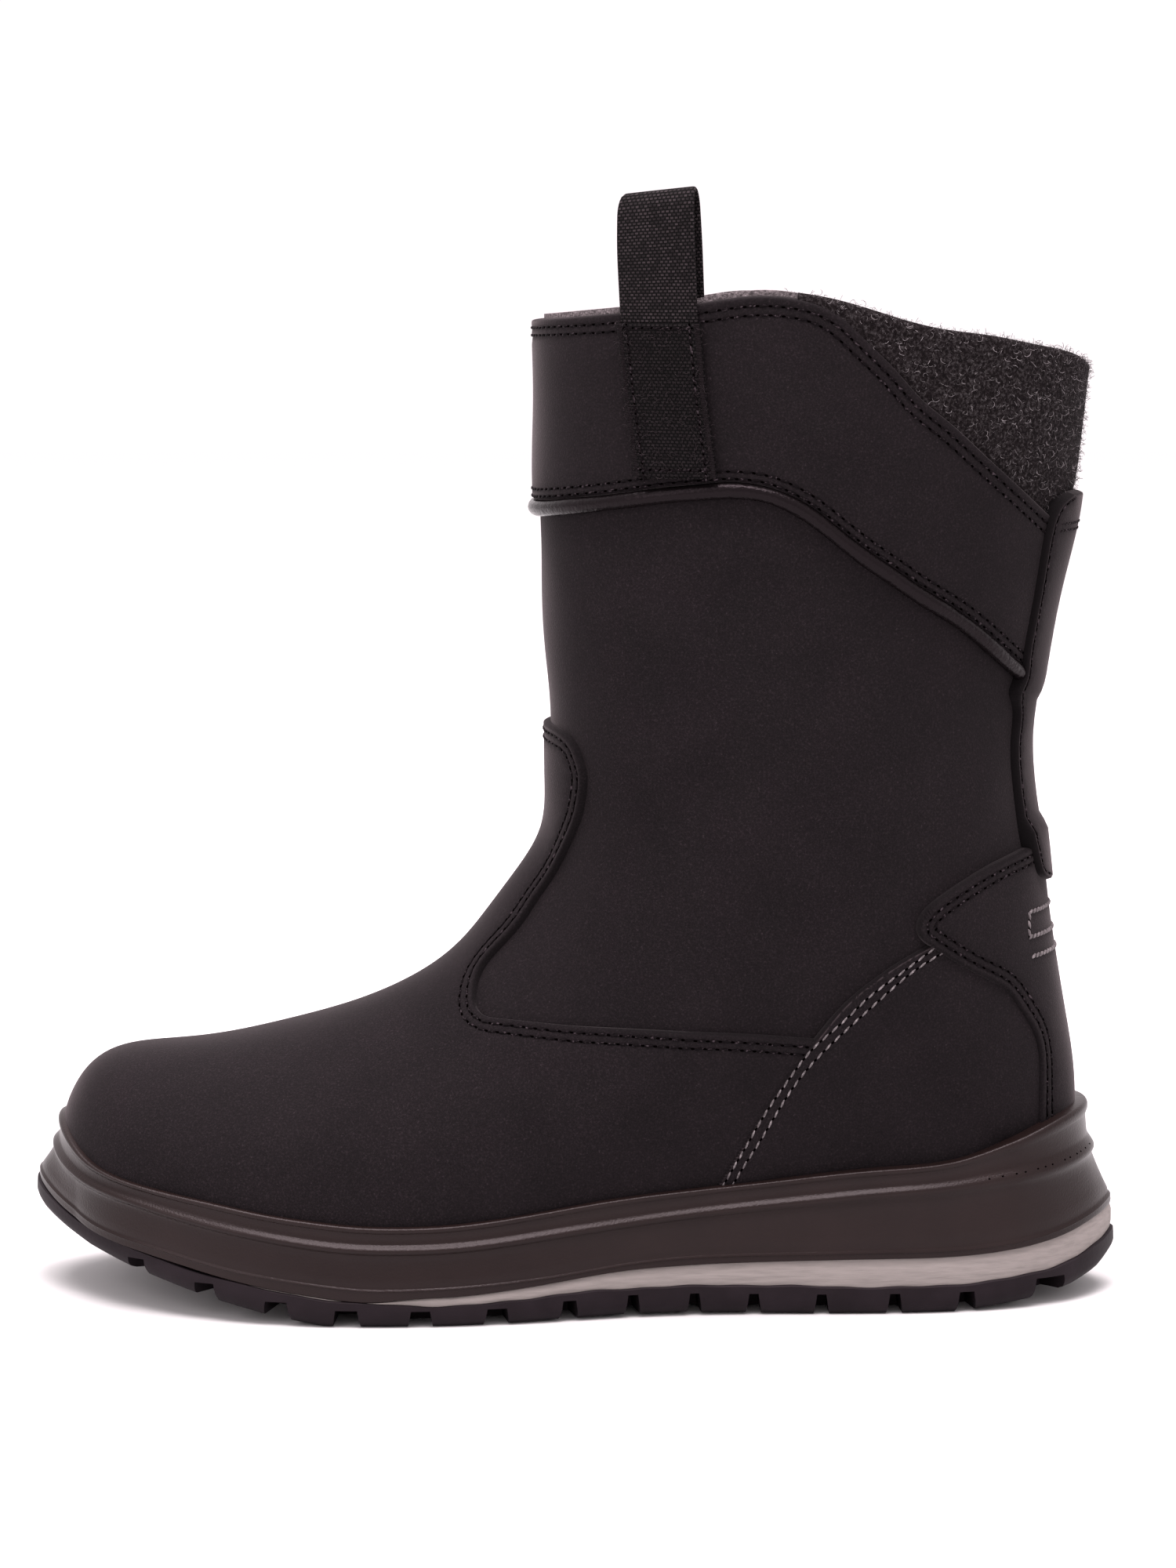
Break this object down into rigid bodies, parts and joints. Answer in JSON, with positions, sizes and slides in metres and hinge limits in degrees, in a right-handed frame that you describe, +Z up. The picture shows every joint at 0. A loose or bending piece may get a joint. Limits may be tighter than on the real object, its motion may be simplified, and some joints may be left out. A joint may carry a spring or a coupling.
{
  "type": "insulated boot",
  "caption": "Pull-on insulated winter boot for the left foot: hollow nubuck upper with cuff, felt collar and pull loop on a moulded cup sole with a foam wedge and lugged rubber outsole.",
  "frame": {"origin": "on the floor under the middle of the boot's box", "axes": "+Z up, toe towards -X, heel towards +X, outer side of the foot towards -Y"},
  "size_m": [0.2783, 0.1168, 0.2792],
  "materials": {
    "outsole_rubber": "matt black moulded rubber",
    "wedge_foam": "brushed light grey foam",
    "midsole_foam": "satin brown-grey moulded foam",
    "footbed_felt": "dark grey felt",
    "nubuck": "black nubuck with a fine soft nap",
    "piping_leather": "smooth black padded piping",
    "collar_felt": "mottled dark grey wool felt",
    "webbing": "black woven tape"
  },
  "bodies": {
    "root": {"outsole": "outsole_rubber", "wedge": "wedge_foam", "midsole": "midsole_foam", "insole": "footbed_felt", "upper": "nubuck", "vamp": "nubuck", "foxing_outer": "nubuck", "foxing_inner": "nubuck", "heel_counter": "nubuck", "back_stay": "nubuck", "cuff": "nubuck", "cuff_piping": "piping_leather", "felt_collar": "collar_felt", "pull_loop": "webbing"}
  },
  "joints": []
}
